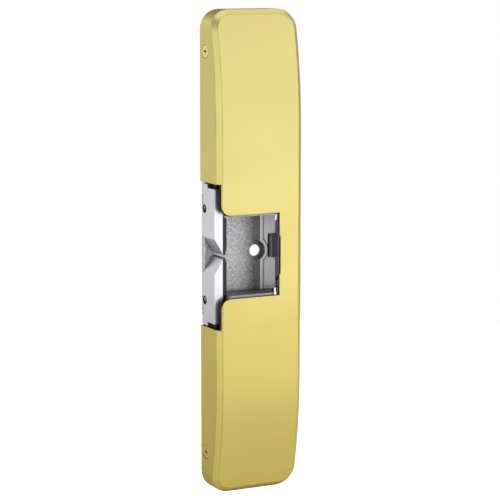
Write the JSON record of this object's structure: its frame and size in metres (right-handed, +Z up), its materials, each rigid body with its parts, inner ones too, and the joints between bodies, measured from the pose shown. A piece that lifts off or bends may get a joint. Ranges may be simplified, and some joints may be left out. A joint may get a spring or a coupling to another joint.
{
  "type": "electric door strike",
  "caption": "Slim surface-mounted electric strike in satin brass, with a bowed cover and a pair of swinging keepers that meet at a notch beside an open latch cavity.",
  "frame": {"origin": "centre of the flat back, which rests on the door frame", "axes": "+Z up along the strike's length; +Y into the door frame, so the front faces -Y; +X to the right seen from the front"},
  "size_m": [0.0444, 0.0191, 0.2286],
  "materials": {
    "satin_brass": "satin plated",
    "brass_screw": "satin plated",
    "satin_steel": "satin",
    "pin_steel": "ground",
    "spring_steel": "drawn wire",
    "screw_steel": "zinc plated",
    "cast_zinc": "as cast, grainy",
    "zinc_plate": "zinc plated",
    "black_oxide_steel": "black oxide",
    "soft_iron": "turned",
    "white_nylon": "moulded",
    "coil_tape": "tape",
    "circuit_board": "solder mask",
    "black_plastic": "moulded",
    "capacitor_sleeve": "shrunk sleeve",
    "red_plastic": "moulded",
    "grommet_rubber": "moulded"
  },
  "bodies": {
    "strike": {"cover": "satin_brass", "strike_body": "cast_zinc", "circuit_board": "circuit_board", "board_screw_1": "screw_steel", "board_screw_2": "screw_steel", "bridge_rectifier": "black_plastic", "capacitor": "capacitor_sleeve", "board_connector": "white_nylon", "wire_grommet": "grommet_rubber", "lead_connector": "white_nylon", "monitor_switch": "black_plastic", "switch_screw": "screw_steel", "monitor_spring": "spring_steel", "coil_lead_upper_red": "red_plastic", "coil_lead_lower_red": "red_plastic", "supply_lead_red": "red_plastic", "coil_lead_upper_black": "black_plastic", "coil_lead_lower_black": "black_plastic", "supply_lead_black": "black_plastic", "hinge_pin_upper": "pin_steel", "lock_spring_upper": "spring_steel", "solenoid_frame_upper": "zinc_plate", "bobbin_upper": "white_nylon", "coil_upper": "coil_tape", "slider_guide_upper": "black_oxide_steel", "guide_screw_upper": "black_oxide_steel", "solenoid_screw_upper_1": "screw_steel", "solenoid_screw_upper_2": "screw_steel", "cover_screw_left_upper": "brass_screw", "cover_screw_right_upper": "brass_screw", "hinge_pin_lower": "pin_steel", "lock_spring_lower": "spring_steel", "solenoid_frame_lower": "zinc_plate", "bobbin_lower": "white_nylon", "coil_lower": "coil_tape", "slider_guide_lower": "black_oxide_steel", "guide_screw_lower": "black_oxide_steel", "solenoid_screw_lower_1": "screw_steel", "solenoid_screw_lower_2": "screw_steel", "cover_screw_left_lower": "brass_screw", "cover_screw_right_lower": "brass_screw"},
    "upper_keeper": {"keeper_upper": "satin_steel", "keeper_spring_upper": "spring_steel"},
    "upper_lock": {"lock_slider_upper": "black_oxide_steel", "armature_upper": "soft_iron", "front_clip_upper": "spring_steel", "rear_collar_upper": "zinc_plate"},
    "lower_keeper": {"keeper_lower": "satin_steel", "keeper_spring_lower": "spring_steel"},
    "lower_lock": {"lock_slider_lower": "black_oxide_steel", "armature_lower": "soft_iron", "front_clip_lower": "spring_steel", "rear_collar_lower": "zinc_plate"},
    "monitor": {"monitor_paddle": "black_plastic", "monitor_shaft": "pin_steel", "monitor_cam": "white_nylon"},
    "switch_plunger": {"switch_button": "red_plastic"}
  },
  "joints": [
    {"name": "upper_keeper_hinge", "type": "hinge", "parent": "strike", "child": "upper_keeper", "pos_m": [-0.0207, -0.0015, 0.02], "axis": [0, 0, -1], "range_deg": [0, 85], "stiffness_Nm_per_rad": 0.006, "springref_deg": -20.05},
    {"name": "upper_lock_slide", "type": "slide", "parent": "strike", "child": "upper_lock", "axis": [0, 0, -1], "range_m": [0, 0.005], "stiffness_N_per_m": 60, "springref_m": -0.004, "deforming": ["lock_spring_upper"]},
    {"name": "lower_keeper_hinge", "type": "hinge", "parent": "strike", "child": "lower_keeper", "pos_m": [-0.0207, -0.0015, -0.02], "axis": [0, 0, -1], "range_deg": [0, 85], "stiffness_Nm_per_rad": 0.006, "springref_deg": -20.05},
    {"name": "lower_lock_slide", "type": "slide", "parent": "strike", "child": "lower_lock", "axis": [0, 0, 1], "range_m": [0, 0.005], "stiffness_N_per_m": 60, "springref_m": -0.004, "deforming": ["lock_spring_lower"]},
    {"name": "monitor_hinge", "type": "hinge", "parent": "strike", "child": "monitor", "pos_m": [0.017, -0.0055, 0], "axis": [0, 0, -1], "range_deg": [0, 15], "stiffness_Nm_per_rad": 0.0002, "springref_deg": -14.32},
    {"name": "switch_plunger_slide", "type": "slide", "parent": "strike", "child": "switch_plunger", "axis": [-1, 0, 0], "range_m": [0, 0.0004]}
  ],
  "couplings": [
    {"joint": "monitor_hinge", "follows": "switch_plunger_slide", "rad_per_m": 650}
  ]
}
